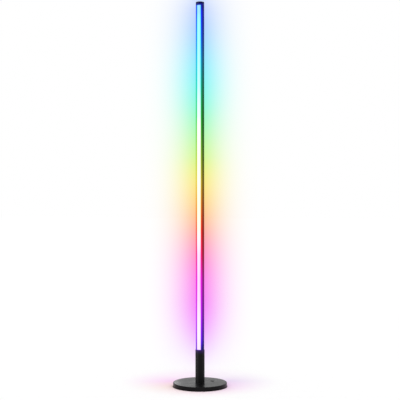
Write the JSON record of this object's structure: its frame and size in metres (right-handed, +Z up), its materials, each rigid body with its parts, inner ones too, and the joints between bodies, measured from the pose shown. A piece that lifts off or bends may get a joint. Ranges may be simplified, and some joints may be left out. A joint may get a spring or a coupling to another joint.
{
  "type": "corner floor lamp",
  "caption": "Slim upright light pole with a full-length opal strip, on a short stem and a round weighted base with a push button and a low-voltage inlet.",
  "frame": {"origin": "centre of the round base, on the floor", "axes": "+Z up along the pole, the light faces -Y, the power inlet is at the rear, +Y"},
  "size_m": [0.2, 0.2, 1.425],
  "materials": {
    "floor_pad": "matt foam rubber",
    "bottom_plate": "matt black paint on sheet steel",
    "plate_screws": "zinc plated steel",
    "base_weight": "raw cast iron, sealed",
    "base_cover": "satin black powder coat",
    "stem_tube": "satin black powder coat",
    "stem_foot": "turned steel",
    "stem_bolt": "zinc plated steel",
    "stem_washer": "zinc plated steel",
    "foot_bar": "mill finish extrusion",
    "stem_screws": "black oxide steel",
    "pole_lower": "black anodised, satin",
    "pole_middle": "black anodised, satin",
    "pole_upper": "black anodised, satin",
    "joint_bar_lower": "mill finish extrusion",
    "joint_bar_upper": "mill finish extrusion",
    "joint_screws": "black oxide steel",
    "light_cover": "opal silicone, satin, lit from behind",
    "led_board": "white solder mask on flexible board",
    "led_chips": "clear silicone over light chips",
    "led_socket": "natural nylon",
    "led_plug": "natural nylon",
    "led_lead": "soft black jacket",
    "cover_grommet": "black nylon",
    "end_cap": "black moulded plastic, satin",
    "control_board": "green solder mask on glass laminate",
    "board_components": "moulded black packages",
    "board_spacers": "plated steel",
    "board_screws": "plated steel",
    "switch_housing": "black moulded plastic",
    "switch_plunger": "natural acetal",
    "button_cap": "black moulded plastic, satin",
    "button_bezel": "black moulded plastic",
    "dc_inlet": "black moulded plastic",
    "dc_pin": "plated brass",
    "power_lead": "soft black jacket"
  },
  "bodies": {
    "lamp": {"floor_pad": "floor_pad", "bottom_plate": "bottom_plate", "plate_screws": "plate_screws", "base_weight": "base_weight", "base_cover": "base_cover", "stem_tube": "stem_tube", "stem_foot": "stem_foot", "stem_bolt": "stem_bolt", "stem_washer": "stem_washer", "foot_bar": "foot_bar", "stem_screws": "stem_screws", "pole_lower": "pole_lower", "pole_middle": "pole_middle", "pole_upper": "pole_upper", "joint_bar_lower": "joint_bar_lower", "joint_bar_upper": "joint_bar_upper", "joint_screws": "joint_screws", "light_cover": "light_cover", "led_board": "led_board", "led_chips": "led_chips", "led_socket": "led_socket", "led_plug": "led_plug", "led_lead": "led_lead", "cover_grommet": "cover_grommet", "end_cap": "end_cap", "control_board": "control_board", "board_components": "board_components", "board_spacers": "board_spacers", "board_screws": "board_screws", "switch_housing": "switch_housing", "button_bezel": "button_bezel", "dc_inlet": "dc_inlet", "dc_pin": "dc_pin", "power_lead": "power_lead"},
    "button": {"button_cap": "button_cap", "switch_plunger": "switch_plunger"}
  },
  "joints": [
    {"name": "button_press", "type": "slide", "parent": "lamp", "child": "button", "axis": [0, 0, -1], "range_m": [0, 0.001], "stiffness_N_per_m": 1500, "springref_m": -0.0005}
  ]
}
